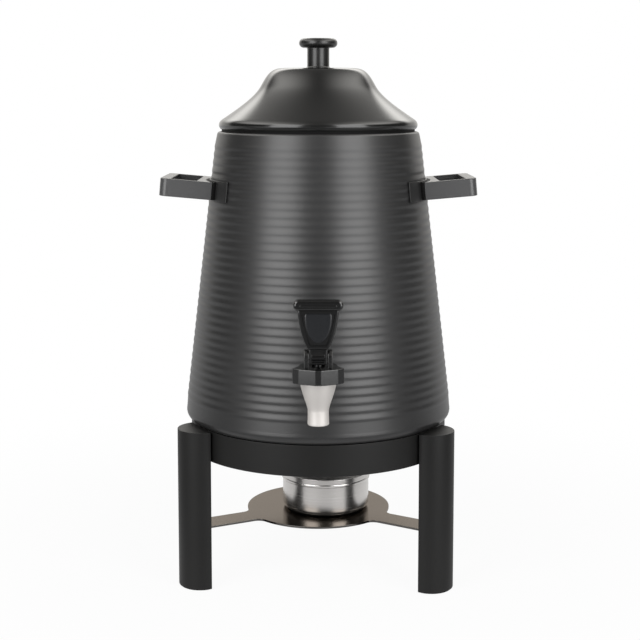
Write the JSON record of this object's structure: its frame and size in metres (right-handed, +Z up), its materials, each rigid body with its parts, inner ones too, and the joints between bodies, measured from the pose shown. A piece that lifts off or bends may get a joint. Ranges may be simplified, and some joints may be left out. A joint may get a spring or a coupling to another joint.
{
  "type": "beverage urn",
  "caption": "Tapered ribbed hot-drink urn with a lever tap, side handles and a lift-off domed lid, resting on a legged stand with a fuel burner on the shelf below.",
  "frame": {"origin": "on the floor, under the middle of the object's box", "axes": "+Z up, tap towards -Y, handles along X"},
  "size_m": [0.301, 0.3382, 0.5189],
  "materials": {
    "stand_paint": "matt black powder coat",
    "vessel_paint": "satin dark grey powder coat",
    "lid_paint": "semi-gloss black paint",
    "handle_paint": "satin dark grey paint",
    "dark_steel": "dark mirror-polished steel",
    "polished_steel": "turned and polished steel",
    "spout_steel": "satin steel",
    "steel": "plain steel",
    "disc_aluminium": "plain",
    "tap_plastic": "moulded semi-gloss black",
    "inset_plastic": "moulded, fine texture",
    "rubber": "matt",
    "silicone": "translucent"
  },
  "bodies": {
    "stand": {"support_ring": "stand_paint", "ring_flange": "stand_paint", "leg_left": "stand_paint", "leg_right": "stand_paint", "leg_back": "stand_paint", "foot_pads": "rubber", "leg_screws": "steel", "burner_shelf": "dark_steel"},
    "burner": {"fuel_cup": "polished_steel"},
    "cover": {"burner_cover": "polished_steel", "cover_band": "polished_steel"},
    "urn": {"vessel_wall": "vessel_paint", "vessel_base": "vessel_paint", "heat_disc": "disc_aluminium", "handle_left": "handle_paint", "handle_right": "handle_paint", "wall_pads": "vessel_paint", "handle_spacers": "rubber", "handle_screws": "steel", "tap_body": "spout_steel", "tap_bonnet": "tap_plastic", "tap_gasket": "rubber", "inner_gasket": "silicone", "tap_nut": "steel", "lever_pin": "steel", "valve_spring": "steel"},
    "lever": {"tap_lever": "tap_plastic", "lever_inset": "inset_plastic"},
    "valve": {"valve_stem": "steel", "seat_cup": "silicone"},
    "lid": {"lid_shell": "lid_paint", "lid_skirt": "steel", "lid_seal": "rubber", "lid_knob": "lid_paint", "knob_washer": "steel", "knob_screw": "steel"}
  },
  "joints": [
    {"name": "urn_lift", "type": "slide", "parent": "stand", "child": "urn", "axis": [0, 0, 1], "range_m": [0, 0.03]},
    {"name": "lid_lift", "type": "slide", "parent": "urn", "child": "lid", "axis": [0, 0, 1], "range_m": [0, 0.035]},
    {"name": "lever_pull", "type": "hinge", "parent": "urn", "child": "lever", "pos_m": [0, -0.15411, 0.2429], "axis": [1, 0, 0], "range_deg": [0, 30], "stiffness_Nm_per_rad": 0.4, "springref_deg": -14.32},
    {"name": "valve_lift", "type": "slide", "parent": "urn", "child": "valve", "axis": [0, 0, 1], "range_m": [0, 0.0048], "deforming": ["valve_spring"]},
    {"name": "burner_slide", "type": "slide", "parent": "stand", "child": "burner", "axis": [0, -1, 0], "range_m": [0, 0.15]},
    {"name": "cover_lift", "type": "slide", "parent": "burner", "child": "cover", "axis": [0, 0, 1], "range_m": [0, 0.02]}
  ],
  "couplings": [
    {"joint": "valve_lift", "follows": "lever_pull", "m_per_rad": 0.009}
  ]
}
